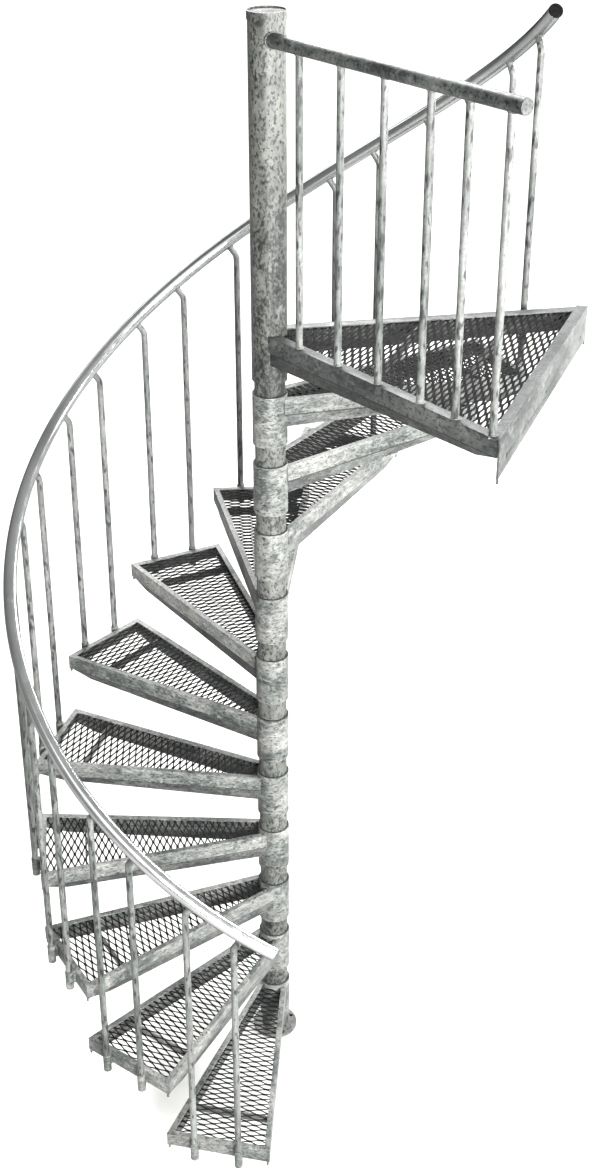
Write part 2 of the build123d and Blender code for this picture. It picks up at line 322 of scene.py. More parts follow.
guardSteel = galvanisedSteel("galvanised guard rail tube", dict(
    galvanised, stretch=1.0, spangleMm=7, speckMm=11, blotchMm=30, speckShare=0.55, speckStart=0.54,
    metallic=0.15, roughness=0.45, tones=("#1f2221", "#292b2a", "#333634", "#3e403e", "#4c4d4a")))

# Expanded metal: slit and stretched sheet, dipped after. It is drawn much darker and duller than
# zinc is, because its thin strands show nearly black against the light.
meshSteel = galvanisedSteel("galvanised expanded metal", dict(
    galvanised, spangleMm=6, blotchMm=60, stretch=1.0, speckShare=0.4, metallic=0.0, roughness=0.8,
    gloss=0.05,
    tones=("#050606", "#080909", "#0d0e0e", "#141515", "#1e1f1e")))

# Weld bead under the zinc: rippled, matt and a little darker than the plate.
weldSteel = galvanisedSteel("galvanised weld bead", dict(
    galvanised, spangleMm=4, speckMm=5, blotchMm=10, speckShare=0.5, metallic=0.2, roughness=0.6,
    tones=("#373938", "#434644", "#4f514f", "#5b5c5a", "#666765")))

# Cap disc: plate that lies flat, so rain leaves its dirt there.
capSteel = galvanisedSteel("galvanised cap disc with rain dirt", dict(
    galvanised, stretch=1.0, speckMm=7, blotchMm=26, speckShare=0.6, speckStart=0.5, metallic=0.05,
    roughness=0.65,
    tones=("#1c1d1c", "#232524", "#2d2f2d", "#383a38", "#454745")))

# End disc: turned plate with a fresh, bright coat.
discSteel = galvanisedSteel("bright galvanised end disc", dict(
    galvanised, spangleMm=6, speckMm=5, blotchMm=14, speckShare=0.25, metallic=0.2,
    tones=("#343534", "#3a3b3a", "#404140", "#474846", "#4e4e4c")))

# Painted shade, matt and nearly black: in the joint on top of each sleeve, and in the strip under each side
# bar.
paintedJointShade = galvanisedSteel("painted shade in the sleeve joints and under the side bars", dict(
    galvanised, spangleMm=4, speckMm=4, blotchMm=12, speckShare=0.4, metallic=0.0, roughness=0.8,
    tones=("#121313", "#171817", "#1c1e1d", "#232524", "#2c2e2c")))

# Set screws: case-hardened steel with a black oxide skin.
screwSteel = galvanisedSteel("black oxide set screw", dict(
    galvanised, spangleMm=2, speckMm=2, blotchMm=5, speckShare=0.3, metallic=0.7, roughness=0.45,
    tones=("#0d0e0e", "#121212", "#171919", "#1e2020", "#272929")))


def polishedTube(name, look):
    # Stainless handrail tube, ground with fine belts round it and polished: mirror-like, with
    # faint rings across the tube and fingermarks along it.
    material, tree, shader = newMaterial(name)
    place = addNode(tree, "ShaderNodeTexCoord").outputs["Object"]
    cloud = addNode(tree, "ShaderNodeTexNoise", {"Scale": perMetre(look["cloudMm"]), "Detail": 4},
                    {"Vector": place}).outputs["Fac"]
    grit = addNode(tree, "ShaderNodeTexNoise", {"Scale": perMetre(look["gritMm"]), "Detail": 2},
                   {"Vector": place}).outputs["Fac"]
    marks = addNode(tree, "ShaderNodeTexNoise",
                    {"Scale": perMetre(look["markMm"]), "Detail": 6, "Roughness": 0.7},
                    {"Vector": place}).outputs["Fac"]
    colour = addNode(tree, "ShaderNodeValToRGB", {"stops": [(0.35, look["dark"]), (0.65, look["light"])]},
                     {"Fac": cloud}).outputs[0]
    rough = addNode(tree, "ShaderNodeMapRange",
                    {"From Min": 0.4, "From Max": 0.7, "To Min": look["roughness"],
                     "To Max": look["roughness"] + 0.1}, {"Value": marks}).outputs[0]
    bump = addNode(tree, "ShaderNodeBump", {"Strength": 0.12, "Distance": 0.0001}, {"Height": grit}).outputs[0]
    tree.links.new(colour, shader.inputs["Base Color"])
    tree.links.new(rough, shader.inputs["Roughness"])
    tree.links.new(bump, shader.inputs["Normal"])
    shader.inputs["Metallic"].default_value = 0.92     # below 1, so that the tube's shaded side stays pale
    shader.inputs["Specular Tint"].default_value = hexLinear("#5a5a5a")   # darker towards its edges
    return material


railSteel = polishedTube("polished stainless handrail tube", {
    "cloudMm": 300, "gritMm": 0.9, "markMm": 40, "dark": "#8c8e8e", "light": "#a4a5a5", "roughness": 0.18})


def mouldedPlastic(name, look):
    # Injection-moulded polyethylene plug: near black, with a fine sparked texture and a soft sheen.
    material, tree, shader = newMaterial(name)
    place = addNode(tree, "ShaderNodeTexCoord").outputs["Object"]
    grain = addNode(tree, "ShaderNodeTexNoise", {"Scale": perMetre(look["grainMm"]), "Detail": 3},
                    {"Vector": place}).outputs["Fac"]
    scuff = addNode(tree, "ShaderNodeTexNoise", {"Scale": perMetre(look["scuffMm"]), "Detail": 5},
                    {"Vector": place}).outputs["Fac"]
    colour = addNode(tree, "ShaderNodeValToRGB", {"stops": [(0.35, look["dark"]), (0.7, look["light"])]},
                     {"Fac": scuff}).outputs[0]
    rough = addNode(tree, "ShaderNodeMapRange", {"To Min": 0.6, "To Max": 0.8}, {"Value": grain}).outputs[0]
    bump = addNode(tree, "ShaderNodeBump", {"Strength": 0.25, "Distance": 0.0002}, {"Height": grain}).outputs[0]
    tree.links.new(colour, shader.inputs["Base Color"])
    tree.links.new(rough, shader.inputs["Roughness"])
    tree.links.new(bump, shader.inputs["Normal"])
    shader.inputs["Specular IOR Level"].default_value = 0.04
    return material


blackPlastic = mouldedPlastic("moulded black polyethylene",
                              {"grainMm": 0.8, "scuffMm": 12, "dark": "#030303", "light": "#0a0a0b"})
print("materials made")


# Carried-over CAD nodes get their finish here; pieces below replace the rest

nodeSteel = {"centre_column": columnSteel, "top_post": columnSteel, "landing_frame": landingSteel,
             "guard_rail": guardSteel, "guard_balusters": tubeSteel}
for nodeName, node in nodes.items():
    node.data.materials.clear()
    node.data.materials.append(nodeSteel.get(nodeName, treadSteel))
    smoothSides(node)


# Tread frames: the CAD frame with its edges eased, as sheared and dipped bar has, and with its
# outer corners rounded

treadFrame = {
    "edgeRadius": 0.0009,
    "barDepth": 0.050,
    # height of the strip under each side bar that is painted as the bar's shadow
    "barShadowStrip": 0.006,
    "cheekStart": 0.057,
    "cheekEnd": 0.800,
}


def easedFrame(nodeName, name, toLocal):
    look = treadFrame
    piece = copyPiece(nodes[nodeName], name, toLocal)
    outwardFaces(piece)
    startEdit(piece)
    bpy.ops.mesh.select_all(action="SELECT")
    bpy.ops.mesh.dissolve_limited(angle_limit=math.radians(1))
    endEdit()
    edges = piece.modifiers.new("eased edges", "BEVEL")
    edges.width = look["edgeRadius"]
    edges.segments = 2
    edges.limit_method = "ANGLE"
    edges.angle_limit = math.radians(40)
    applyModifiers(piece)
    # the strip under each side bar, painted as the bar's shadow, is cut off from the cheek plate below it
    startEdit(piece)
    selectWhere(piece, lambda centre, normal: centre.z < -look["barDepth"] - 0.0004
                and look["cheekStart"] < centre.x < look["cheekEnd"], "FACE")
    bpy.ops.mesh.bisect(plane_co=(0, 0, -look["barDepth"] - look["barShadowStrip"]), plane_no=(0, 0, 1))
    endEdit()
    smoothSides(piece, 40)
    return piece


def dressCheeks(piece, toLocal, materials):
    # second material on the cheek plates, darkened as painted shade; third, the bar's painted shadow, in the
    # strip above them
    look = treadFrame
    for material in materials:
        piece.data.materials.append(material)
    for face in piece.data.polygons:
        centre = toLocal @ face.center
        if look["cheekStart"] < centre.x < look["cheekEnd"] and centre.z < -look["barDepth"] - 0.0004:
            face.material_index = 2 if centre.z > -look["barDepth"] - look["barShadowStrip"] else 1


treadModel = easedFrame("tread_frame_01", "treadModel", treadPlace(1).inverted())
for tread in range(1, stair["treadCount"] + 1):
    piece = copyPiece(treadModel, f"tread_{tread:02d}", treadPlace(tread))
    finishPiece(piece, treadSteel, [f"tread_frame_{tread:02d}"])
    dressCheeks(piece, treadPlace(tread).inverted(), [shadedCheekSteel, paintedJointShade])
print("tread frames eased:", len(treadModel.data.polygons), "faces each")
bpy.data.objects.remove(treadModel)
landingPlace = Matrix.Translation((0, 0, landingTop))
landing = easedFrame("landing_frame", "landing", landingPlace.inverted())
settle(landing, landingPlace)
finishPiece(landing, landingSteel, ["landing_frame"])
dressCheeks(landing, landingPlace.inverted(), [shadedLandingCheekSteel, paintedJointShade])


# Expanded metal

expandedMetal = {
    "longWay": 0.0685,        # between bonds along the tread's width
    "shortWay": 0.0235,       # between bonds outward along the tread
    "strandWidth": 0.0047,
    "landingStrandWidth": 0.0078,   # wider, to look as dense as the landing's mesh does
    "strandThickness": 0.0018,
    "bondHalf": 0.0065,
    "tilt": 10,               # degrees that the strands lean
    "lipGap": 0.0012,
    "hubClear": 0.0565,
}


def strandPair(strandWidth):
    # one period of two neighbouring strands, modelled at the origin
    look = expandedMetal
    long, short = look["longWay"], look["shortWay"]
    lean = math.radians(look["tilt"])
    planWidth = strandWidth * math.cos(lean)
    lift = strandWidth * math.sin(lean) / 2
    deselectAll()
    bpy.ops.mesh.primitive_cube_add(size=1)
    strand = bpy.context.object
    strand.scale = (strandWidth, long, look["strandThickness"])
    settle(strand)
    startEdit(strand)
    bpy.ops.mesh.select_all(action="SELECT")
    bpy.ops.transform.rotate(value=lean, orient_axis="Y", center_override=(0, 0, 0))
    bpy.ops.transform.translate(value=(planWidth / 2, long / 2, lift))
    for place in (look["bondHalf"], long / 2 - look["bondHalf"], long / 2 + look["bondHalf"],
                  long - look["bondHalf"]):
        bpy.ops.mesh.select_all(action="SELECT")
        bpy.ops.mesh.bisect(plane_co=(0, place, 0), plane_no=(0, 1, 0))
    # the middle stretch moves over to the next bond, and the ramps follow
    selectWhere(strand, lambda co: abs(co.y - long / 2) < look["bondHalf"] + 0.0002)
    bpy.ops.transform.translate(value=(short / 2 - planWidth, 0, -2 * lift))
    # open ends, so that the periods join
    selectWhere(strand, lambda centre, normal: abs(normal.y) > 0.99, "FACE")
    bpy.ops.mesh.delete(type="ONLY_FACE")
    bpy.ops.mesh.select_all(action="SELECT")
    bpy.ops.mesh.duplicate_move(TRANSFORM_OT_translate={"value": (short / 2, long / 2, 0)})
    endEdit()
    return strand


def meshSheet(name, strandWidth, reach, width, cuts):
    # sheet of expanded metal that covers the opening, then cut to its outline
    look = expandedMetal
    sheet = strandPair(strandWidth)
    sheet.name = name
    columns = math.ceil(reach / look["shortWay"]) + 2
    rows = math.ceil(width / look["longWay"]) + 2
    for count, offset in ((rows, (0, look["longWay"], 0)), (columns, (look["shortWay"], 0, 0))):
        array = sheet.modifiers.new("array", "ARRAY")
        array.use_relative_offset = False
        array.use_constant_offset = True
        array.constant_offset_displace = offset
        array.count = count
        array.use_merge_vertices = True
        array.merge_threshold = 0.00005
    applyModifiers(sheet)
    settle(sheet, Matrix.Translation((-look["shortWay"], -width / 2 - look["longWay"], 0)))
    startEdit(sheet)
    for point, normal in cuts:
        bpy.ops.mesh.select_all(action="SELECT")
        bpy.ops.mesh.bisect(plane_co=point, plane_no=normal, use_fill=True, clear_outer=True)
    endEdit()
    outwardFaces(sheet)
    return sheet


def outlineCuts(reach, width, hubOffset):
    # upright planes round a tread's opening: outer plate, hub and both side bars
    edge = stair["barThickness"] + expandedMetal["lipGap"]
    corner = math.hypot(reach, width / 2)
    flare = math.atan2(width / 2, reach) - math.asin(hubOffset / corner)
    cuts = [((reach - edge, 0, 0), (1, 0, 0)), ((expandedMetal["hubClear"], 0, 0), (-1, 0, 0))]
    for side in (-1, 1):
        normal = Vector((-math.sin(flare), side * math.cos(flare), 0))
        cuts.append((normal * (hubOffset - edge), normal))
    return cuts


treadSheet = meshSheet("treadSheet", expandedMetal["strandWidth"], stair["treadReach"], stair["treadWidth"],
                       outlineCuts(stair["treadReach"], stair["treadWidth"], stair["treadHubOffset"]))
meshDrop = -stair["lipThickness"] - max(v.co.z for v in treadSheet.data.vertices)
for tread in range(1, stair["treadCount"] + 1):
    piece = copyPiece(treadSheet, f"expanded_metal_{tread:02d}",
                      treadPlace(tread) @ Matrix.Translation((0, 0, meshDrop)))
    finishPiece(piece, meshSteel, [f"tread_mesh_{tread:02d}"])
bpy.data.objects.remove(treadSheet)

landingSheet = meshSheet("landing_expanded_metal", expandedMetal["landingStrandWidth"],
                         stair["landingReach"], stair["landingWidth"],
                         outlineCuts(stair["landingReach"], stair["landingWidth"], stair["landingHubOffset"]))
settle(landingSheet, Matrix.Translation((0, 0, landingTop + meshDrop)))
finishPiece(landingSheet, meshSteel, ["landing_mesh"])
print("expanded metal made:", len(landingSheet.data.polygons), "faces in the landing's sheet")


# Handrail

handrail = {
    "radius": 0.0212,
    "height": 0.978,           # above each tread's sleeve
    "startStep": 0.42,
    "endStep": 11.44,
    "sides": 40,
    "turnsPerStep": 22,
    "outset": 0.003,           # beyond the balusters' circle
    "endInset": 0.0006,
    "endRise": 0.0005,
}
baluster = {
    "radius": 0.01065,
    "socketRadius": 0.0135,
    "socketStandOff": 0.006,
    "halfSpacing": 0.075,
    "bendRadius": 0.035,
    "neckTail": 0.048,
    "sides": 28,
}
balusterReach = stair["treadReach"] + baluster["socketStandOff"] + baluster["socketRadius"]
balusterCircle = math.hypot(balusterReach, baluster["halfSpacing"])
balusterSpread = math.atan2(baluster["halfSpacing"], balusterReach)
railCircle = balusterCircle + handrail["outset"]
railSlope = math.atan(stair["rise"] / (railCircle * math.radians(stair["stepAngle"])))
neckShift = baluster["bendRadius"] * (1 - math.cos(railSlope)) + baluster["neckTail"] * math.sin(railSlope)
neckRise = baluster["bendRadius"] * math.sin(railSlope) + baluster["neckTail"] * math.cos(railSlope)


def railFrame(step):
    # place and axes across the rail at a step count: X outward, Z along the rail uphill
    turn = math.radians(stair["firstTreadAngle"] - (step - 1) * stair["stepAngle"])
    outward = Vector((math.cos(turn), math.sin(turn), 0))
    ahead = Vector((math.sin(turn), -math.cos(turn), 0)) * math.cos(railSlope)
    ahead.z = math.sin(railSlope)
    matrix = Matrix((outward, ahead.cross(outward), ahead)).transposed().to_4x4()
    matrix.translation = outward * railCircle + Vector((0, 0, step * stair["rise"] + handrail["height"]))
    return matrix


def makeHandrail():
    # an upright ellipse wound round the column gives a round tube on the slope
    spare = 0.1                                     # in steps, cut off square at both ends
    first, last = handrail["startStep"] - spare, handrail["endStep"] + spare
    deselectAll()
    bpy.ops.mesh.primitive_circle_add(vertices=handrail["sides"], radius=handrail["radius"],
                                      rotation=(math.radians(90), 0, 0))
    rail = bpy.context.object
    rail.name = "handrail_tube"
    settle(rail)
    startEdit(rail)
    bpy.ops.mesh.select_all(action="SELECT")
    bpy.ops.transform.resize(value=(1, 1, 1 / math.cos(railSlope)), center_override=(0, 0, 0))
    bpy.ops.transform.translate(value=(railCircle, 0, 0))
    endEdit()
    screw = rail.modifiers.new("wind", "SCREW")
    screw.axis = "Z"
    screw.angle = -math.radians((last - first) * stair["stepAngle"])
    screw.screw_offset = (last - first) * stair["rise"]
    screw.steps = screw.render_steps = int((last - first) * handrail["turnsPerStep"])
    applyModifiers(rail)
    turn = math.radians(stair["firstTreadAngle"] - (first - 1) * stair["stepAngle"])
    height = first * stair["rise"] + handrail["height"]
    settle(rail, Matrix.Translation((0, 0, height)) @ Matrix.Rotation(turn, 4, "Z"))
    return rail


def squareEnd(obj, step, side):
    # removes the rail beyond an end and closes it: only the stretch near that end is cut
    end = railFrame(step)
    ahead = Vector(end.col[2][:3]) * side
    startEdit(obj)
    selectWhere(obj, lambda co: (co - end.translation).length < 0.2)
    bpy.ops.mesh.bisect(plane_co=end.translation, plane_no=ahead, clear_outer=True)
    selectWhere(obj, lambda co: abs((co - end.translation).dot(ahead)) < 0.0001
                and (co - end.translation).length < 0.1)
    bpy.ops.mesh.edge_face_add()
    bpy.ops.mesh.inset(thickness=handrail["endInset"])
    bpy.ops.transform.translate(value=ahead * handrail["endRise"])
    endEdit()


rail = makeHandrail()
squareEnd(rail, handrail["startStep"], -1)
squareEnd(rail, handrail["endStep"], 1)
outwardFaces(rail)
smoothSides(rail, 50)
finishPiece(rail, railSteel, ["handrail"])
print("handrail made")


# Black plug in the rail's upper end

endPlug = {"radius": 0.0211, "thickness": 0.005, "roundness": 0.0022, "sides": 40, "faceInset": 0.006,
           "faceRise": 0.0007, "gap": 0.0002}
deselectAll()
bpy.ops.mesh.primitive_cylinder_add(vertices=endPlug["sides"], radius=endPlug["radius"],
                                    depth=endPlug["thickness"], location=(0, 0, endPlug["thickness"] / 2))
plug = bpy.context.object
plug.name = "handrail_plug"
settle(plug)
startEdit(plug)
selectWhere(plug, lambda centre, normal: normal.z > 0.9, "FACE")
bpy.ops.mesh.bevel(offset=endPlug["roundness"], segments=4)
selectWhere(plug, lambda centre, normal: normal.z > 0.999, "FACE")
bpy.ops.mesh.inset(thickness=endPlug["faceInset"])
bpy.ops.transform.translate(value=(0, 0, endPlug["faceRise"]))
endEdit()
settle(plug, railFrame(handrail["endStep"]) @ Matrix.Translation((0, 0, endPlug["gap"])))
outwardFaces(plug)
smoothSides(plug, 40)
finishPiece(plug, blackPlastic, ["handrail_end_plug"])


# Balusters

def jointStep(side):
    # step count, for tread 1, at which a baluster meets the rail
    shift = math.atan2(neckShift, balusterCircle)
    return 1 - math.degrees(side * balusterSpread + shift) / stair["stepAngle"]


def balusterPlace(side):
    # upright plane tangent to the stair's circle: X downhill, Y inward, Z up
    turn = treadTurn(1) + side * balusterSpread
    radial = Vector((math.cos(turn), math.sin(turn), 0))
    downhill = Vector((-radial.y, radial.x, 0))
    place = Matrix((downhill, radial * -1, Vector((0, 0, 1)))).transposed().to_4x4()
    place.translation = radial * balusterCircle
    return place


def jointHeight(side):
    return jointStep(side) * stair["rise"] + handrail["height"]


tailDirection = Vector((math.sin(railSlope), 0, math.cos(railSlope)))


def makeBaluster(side):
    # circle drawn up, spun round the neck's bend and drawn on into the rail's wall, for tread 1
    foot = stair["rise"] - stair["treadDrop"]
    bendStart = jointHeight(side) - neckRise
    deselectAll()
    bpy.ops.mesh.primitive_circle_add(vertices=baluster["sides"], radius=baluster["radius"],
                                      fill_type="NGON", location=(0, 0, foot))
    tube = bpy.context.object
    settle(tube)
    startEdit(tube)
    bpy.ops.mesh.select_all(action="SELECT")
    bpy.ops.mesh.extrude_region_move(TRANSFORM_OT_translate={"value": (0, 0, bendStart - foot)})
    bpy.ops.mesh.spin(steps=10, angle=-railSlope, center=(baluster["bendRadius"], 0, bendStart), axis=(0, 1, 0))
    tail = tailDirection * (baluster["neckTail"] - handrail["radius"] * 0.75)
    bpy.ops.mesh.extrude_region_move(TRANSFORM_OT_translate={"value": tail})
    endEdit()
    settle(tube, balusterPlace(side))
    outwardFaces(tube)
    return tube


balusterPair = joinPieces([makeBaluster(-1), makeBaluster(1)], "balusterPair")
smoothSides(balusterPair, 40)


def climbPlace(tread):
    # from tread 1 to another tread
    turn = Matrix.Rotation(treadTurn(tread) - treadTurn(1), 4, "Z")
    return Matrix.Translation((0, 0, (tread - 1) * stair["rise"])) @ turn


for tread in range(1, stair["treadCount"] + 1):
    piece = copyPiece(balusterPair, f"baluster_tubes_{tread:02d}", climbPlace(tread))
    finishPiece(piece, tubeSteel, [f"balusters_{tread:02d}"])
bpy.data.objects.remove(balusterPair)
print("balusters made")


# Weld beads: one rippled ring is modelled, and copies are sized to each joint

weldBead = {"ripple": 0.0003, "ripples": 9, "width": 0.0021, "sides": 8, "segments": 36}


def beadRing(radius, width=None):
    look = weldBead
    deselectAll()
    bpy.ops.mesh.primitive_torus_add(major_radius=radius, minor_radius=width or look["width"],
                                     major_segments=look["segments"], minor_segments=look["sides"])
    ring = bpy.context.object
    startEdit(ring)
    bpy.ops.mesh.select_all(action="SELECT")
    bpy.ops.transform.resize(value=(1, 1, 1.15), center_override=(0, 0, 0))
    endEdit()
    for vertex in ring.data.vertices:     # overlapping scallops, as a torch leaves them
        turn = math.atan2(vertex.co.y, vertex.co.x)
        vertex.co *= 1 + look["ripple"] / radius * abs(math.sin(look["ripples"] * turn))
    return ring


def saddle(ring, across):
    # lays a ring, whose axis is Z, round a tube of this radius that runs along X at the origin
    for vertex in ring.data.vertices:
        side = min(abs(vertex.co.y), across * 0.98)
        vertex.co.z -= across - math.sqrt(across ** 2 - side ** 2)
    return ring


railWelds = []
for side in (-1, 1):
    ring = saddle(beadRing(baluster["radius"] + 0.0006), handrail["radius"])
    # the ring's +Z points down the neck, and its X along the rail
    frameAt = railFrame(jointStep(side))
    along, across = Vector(frameAt.col[2][:3]), Vector(frameAt.col[0][:3])
    down = (balusterPlace(side).to_3x3() @ tailDirection) * -1
    down.normalize()
    sideways = down.cross(along).normalized()
    turn = Matrix((along, sideways, down)).transposed().to_4x4()
    turn.translation = frameAt.translation + down * handrail["radius"]
    # the saddle falls away towards the rail's sides, which is up here
    settle(ring, turn)
    railWelds.append(ring)
railWeldPair = joinPieces(railWelds, "railWeldPair")
smoothSides(railWeldPair, 60)
footBeads = []
for side in (-1, 1):
    ring = beadRing(baluster["radius"] + 0.0008, 0.0017)
    settle(ring, balusterPlace(side) @ Matrix.Translation((0, 0, stair["rise"] - stair["treadDrop"])))
    footBeads.append(ring)
footBeadPair = joinPieces(footBeads, "footBeadPair")
smoothSides(footBeadPair, 60)
for tread in range(1, stair["treadCount"] + 1):
    upper = copyPiece(railWeldPair, f"rail_welds_{tread:02d}", climbPlace(tread))
    finishPiece(upper, weldSteel)
    lower = copyPiece(footBeadPair, f"baluster_foot_beads_{tread:02d}", climbPlace(tread))
    finishPiece(lower, weldSteel)
bpy.data.objects.remove(railWeldPair)
bpy.data.objects.remove(footBeadPair)

guard = {
    "height": 0.850,
    "inset": 0.015,
    "overhang": 0.002,
    "start": 0.046,            # inside the post's wall
    "groove": 0.0012,
    "sides": 44,
    "discThickness": 0.004,
    "discGap": 0.0004,
    "discEdge": 0.0008,
    "discFace": 0.004,
    "discDish": 0.0003,
    "postBead": 0.0018,
    "postBeadOut": 0.003,
    "places": (0.168, 0.340, 0.512, 0.684, 0.8204, 0.9604),   # of its balusters along the edge
}
landingCorner = math.hypot(stair["landingReach"], stair["landingWidth"] / 2)
landingFlare = (math.atan2(stair["landingWidth"] / 2, stair["landingReach"])
                - math.asin(stair["landingHubOffset"] / landingCorner))
guardAlong = Vector((math.cos(-landingFlare), math.sin(-landingFlare), 0))
guardOut = Vector((guardAlong.y, -guardAlong.x, 0))
guardLine = guardOut * (stair["landingHubOffset"] - guard["inset"])
guardWelds = []
for place in guard["places"]:
    point = guardLine + guardAlong * place + Vector((0, 0, landingTop))
    foot = beadRing(baluster["radius"] + 0.0006)
    settle(foot, Matrix.Translation(point))
    head = saddle(beadRing(baluster["radius"] + 0.0006), handrail["radius"])
    turn = Matrix((guardAlong, Vector((0, 0, -1)).cross(guardAlong), Vector((0, 0, -1)))).transposed().to_4x4()
    turn.translation = point + Vector((0, 0, guard["height"] - handrail["radius"]))
    settle(head, turn)
    guardWelds += [foot, head]
guardEnd = math.sqrt(landingCorner ** 2 - stair["landingHubOffset"] ** 2) + guard["overhang"]


def guardPlace(along, height=0.0):
    # place along the guard's line, +Z along the rail
    place = Matrix((guardOut, guardAlong.cross(guardOut), guardAlong)).transposed().to_4x4()
    place.translation = guardLine + guardAlong * along + Vector((0, 0, landingTop + guard["height"] + height))
    return place


# round tube from inside the post's wall to the end disc, with a weld groove in front of the disc
deselectAll()
bpy.ops.mesh.primitive_cylinder_add(vertices=guard["sides"], radius=handrail["radius"], depth=1,
                                    location=(0, 0, 0.5))
guardTube = bpy.context.object
guardTube.name = "guard_rail_tube"
settle(guardTube)
startEdit(guardTube)
selectWhere(guardTube, lambda centre, normal: normal.z > 0.9, "FACE")
bpy.ops.transform.translate(value=(0, 0, guardEnd - guard["start"] - 1))
bpy.ops.mesh.inset(thickness=guard["groove"])
bpy.ops.mesh.extrude_region_move(TRANSFORM_OT_translate={"value": (0, 0, guard["groove"])})
endEdit()
settle(guardTube, guardPlace(guard["start"]))
outwardFaces(guardTube)
smoothSides(guardTube, 40)
finishPiece(guardTube, guardSteel, ["guard_rail"])

deselectAll()
bpy.ops.mesh.primitive_cylinder_add(vertices=guard["sides"], radius=handrail["radius"] - guard["discDish"],
                                    depth=guard["discThickness"] - 2 * guard["discGap"],
                                    location=(0, 0, guard["discThickness"] / 2 + guard["discGap"]))
guardDisc = bpy.context.object
guardDisc.name = "guard_end_disc"
settle(guardDisc)
startEdit(guardDisc)
selectWhere(guardDisc, lambda centre, normal: abs(normal.z) > 0.9, "FACE")
bpy.ops.mesh.bevel(offset=guard["discEdge"], segments=2)
selectWhere(guardDisc, lambda centre, normal: normal.z > 0.999, "FACE")
bpy.ops.mesh.inset(thickness=guard["discFace"])
bpy.ops.transform.translate(value=(0, 0, -guard["discDish"]))
endEdit()
settle(guardDisc, guardPlace(guardEnd))
outwardFaces(guardDisc)
smoothSides(guardDisc, 40)
finishPiece(guardDisc, discSteel, ["guard_rail"])
postRing = saddle(beadRing(handrail["radius"] + 0.0002, guard["postBead"]), stair["sleeveRadius"])
turn = Matrix((Vector((0, 0, 1)), guardAlong.cross(Vector((0, 0, 1))), guardAlong)).transposed().to_4x4()
reachAtPost = math.sqrt(stair["sleeveRadius"] ** 2 - guardLine.length ** 2)
turn.translation = (guardLine + guardAlong * (reachAtPost + guard["postBeadOut"])
                    + Vector((0, 0, landingTop + guard["height"])))
settle(postRing, turn)
guardWelds.append(postRing)
guardWelds = joinPieces(guardWelds, "guard_welds")
smoothSides(guardWelds, 60)
finishPiece(guardWelds, weldSteel)
print("weld beads made")


# Dark ring on top of each sleeve, painted shade in the joint there, and the two set screws below it

sleeveShadeRing = {"inner": 0.0474, "outer": 0.0541, "height": 0.0016, "sides": 56}
setScrew = {"radius": 0.0038, "socket": 0.0021, "depth": 0.0022, "proud": 0.0004,
            "length": 0.004, "edge": 0.0004, "drops": (0.012, 0.152),
            "turn": 177}                                       # degrees round from the tread

deselectAll()
bpy.ops.mesh.primitive_torus_add(major_radius=(sleeveShadeRing["inner"] + sleeveShadeRing["outer"]) / 2,
                                 minor_radius=(sleeveShadeRing["outer"] - sleeveShadeRing["inner"]) / 2,
                                 major_segments=sleeveShadeRing["sides"], minor_segments=10)
shadeRingModel = bpy.context.object
startEdit(shadeRingModel)
bpy.ops.mesh.select_all(action="SELECT")
flatness = sleeveShadeRing["height"] / (sleeveShadeRing["outer"] - sleeveShadeRing["inner"]) * 2
bpy.ops.transform.resize(value=(1, 1, flatness), center_override=(0, 0, 0))
bpy.ops.mesh.select_all(action="SELECT")
bpy.ops.mesh.bisect(plane_co=(0, 0, -sleeveShadeRing["height"] / 2), plane_no=(0, 0, 1), use_fill=True,
                    clear_inner=True)
endEdit()
outwardFaces(shadeRingModel)
smoothSides(shadeRingModel, 60)

deselectAll()
bpy.ops.mesh.primitive_cylinder_add(vertices=18, radius=setScrew["radius"], depth=setScrew["length"],
                                    location=(0, 0, -setScrew["length"] / 2))
screwModel = bpy.context.object
settle(screwModel)
startEdit(screwModel)
selectWhere(screwModel, lambda centre, normal: normal.z > 0.9, "FACE")
bpy.ops.mesh.bevel(offset=setScrew["edge"], segments=2)
selectWhere(screwModel, lambda centre, normal: normal.z > 0.999, "FACE")
bpy.ops.mesh.inset(thickness=setScrew["radius"] - setScrew["socket"])
bpy.ops.mesh.extrude_region_move(TRANSFORM_OT_translate={"value": (0, 0, -setScrew["depth"])})
endEdit()
outwardFaces(screwModel)
smoothSides(screwModel, 40)

for tread in range(1, stair["treadCount"] + 1):
    top = tread * stair["rise"]
    ring = copyPiece(shadeRingModel, f"sleeve_joint_shade_ring_{tread:02d}", Matrix.Translation((0, 0, top)))
    finishPiece(ring, paintedJointShade)
    turn = treadTurn(tread) + math.radians(setScrew["turn"])
    outward = Vector((math.cos(turn), math.sin(turn), 0))
    screws = []
    for drop in setScrew["drops"]:
        point = outward * (stair["sleeveRadius"] + setScrew["proud"]) + Vector((0, 0, top - drop))
        screws.append(copyPiece(screwModel, "screw", axisPlace(point, outward)))
    screws = joinPieces(screws, f"set_screws_{tread:02d}")
    finishPiece(screws, screwSteel)
bpy.data.objects.remove(shadeRingModel)
bpy.data.objects.remove(screwModel)
print("sleeve joints and set screws made")


# Disc welded in below the post's rim: slightly domed, with rain dirt lying on it

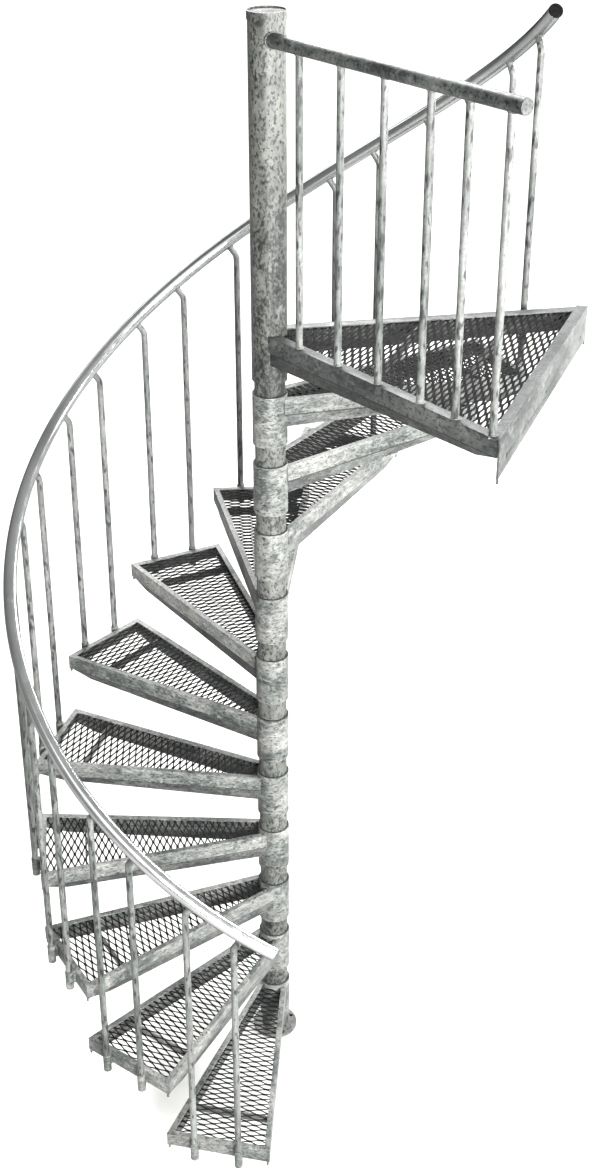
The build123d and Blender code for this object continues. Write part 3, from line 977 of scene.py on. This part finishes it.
capDisc = {"radius": 0.0518, "dome": 0.0012, "bead": 0.0016, "recess": 0.005, "segments": 44}
deselectAll()
bpy.ops.mesh.primitive_circle_add(vertices=capDisc["segments"], radius=capDisc["radius"], fill_type="NGON")
disc = bpy.context.object
disc.name = "post_cap_disc"
startEdit(disc)
bpy.ops.mesh.select_all(action="SELECT")
bpy.ops.mesh.extrude_region_move(TRANSFORM_OT_translate={"value": (0, 0, capDisc["dome"])})
for inset, lift in ((0.002, 0), (0.003, -capDisc["bead"] / 2), (0.016, capDisc["dome"] / 3), (0.016, 0.0002)):
    bpy.ops.mesh.inset(thickness=inset)
    bpy.ops.transform.translate(value=(0, 0, lift))
endEdit()
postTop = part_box("top_post")[1].z
settle(disc, Matrix.Translation((0, 0, postTop - capDisc["recess"] - 0.0004)))
outwardFaces(disc)
smoothSides(disc, 50)
finishPiece(disc, capSteel)
print("cap disc made")


# Camera, floor and light

camera = {
    "place": (1.7534, -4.4625, 4.5756),
    "downDegrees": 29.228,
    "headingDegrees": 20.446,     # to the left of +Y
    "lens": 52.40,
}
cameraData = bpy.data.cameras.new("camera")
cameraData.lens = camera["lens"]
cameraData.sensor_width = 36
cameraObject = bpy.data.objects.new("camera", cameraData)
cameraObject.location = camera["place"]
cameraObject.rotation_euler = (math.radians(90 - camera["downDegrees"]), 0,
                               math.radians(camera["headingDegrees"]))
bpy.context.collection.objects.link(cameraObject)
bpy.context.scene.camera = cameraObject

deselectAll()
bpy.ops.mesh.primitive_plane_add(size=60, location=(0, 0, -0.001))
floor = bpy.context.object
floor.name = "floor"
floorMaterial, _, floorShader = newMaterial("pale studio floor")
# mid grey that the lamps bring up to white: a paler floor would light the shaded faces too much
floorShader.inputs["Base Color"].default_value = hexLinear("#8e8e8c")
floorShader.inputs["Roughness"].default_value = 0.9
floorShader.inputs["Emission Color"].default_value = hexLinear("#ffffff")
floorShader.inputs["Emission Strength"].default_value = 0.05     # keeps its soft shadows pale
floor.data.materials.append(floorMaterial)

world = bpy.data.worlds.new("studio")
bpy.context.scene.world = world
world.use_nodes = True
world.node_tree.nodes["Background"].inputs["Color"].default_value = hexLinear("#ffffff")
world.node_tree.nodes["Background"].inputs["Strength"].default_value = 0.22

# Two large soft boxes, low on the camera's right, one above the camera for the rail's shine, a wash
# that keeps the far floor pale, and two behind for the stair's back
lights = {
    "key": {"place": (5.5, -7.9, 4.5), "target": (0, 0, 1.9), "size": 2.8, "power": 6600},
    "side": {"place": (9.7, 0.2, 4.5), "target": (0, 0, 1.9), "size": 2.8, "power": 3900},
    "front": {"place": (1.2, -6.0, 7.2), "target": (0, 0, 1.9), "size": 5.0, "power": 240},
    "floorWash": {"place": (-6.0, 15.0, 10.0), "target": (-6.0, 15.0, 0), "size": 20.0, "power": 9500},
    "back": {"place": (4.4, 7.6, 4.0), "target": (0, 0, 1.9), "size": 2.8, "power": 1800},
    "backTop": {"place": (-3.2, 5.0, 8.2), "target": (0, 0, 1.9), "size": 3.0, "power": 1200},
}
for name, light in lights.items():
    data = bpy.data.lights.new(name, "AREA")
    data.size = light["size"]
    data.energy = light["power"]
    lamp = bpy.data.objects.new(name, data)
    lamp.location = light["place"]
    aim = Vector(light["target"]) - Vector(light["place"])
    lamp.rotation_euler = aim.to_track_quat("-Z", "Y").to_euler()
    bpy.context.collection.objects.link(lamp)

bpy.context.scene.view_settings.view_transform = "Standard"
print("camera, floor and light set")
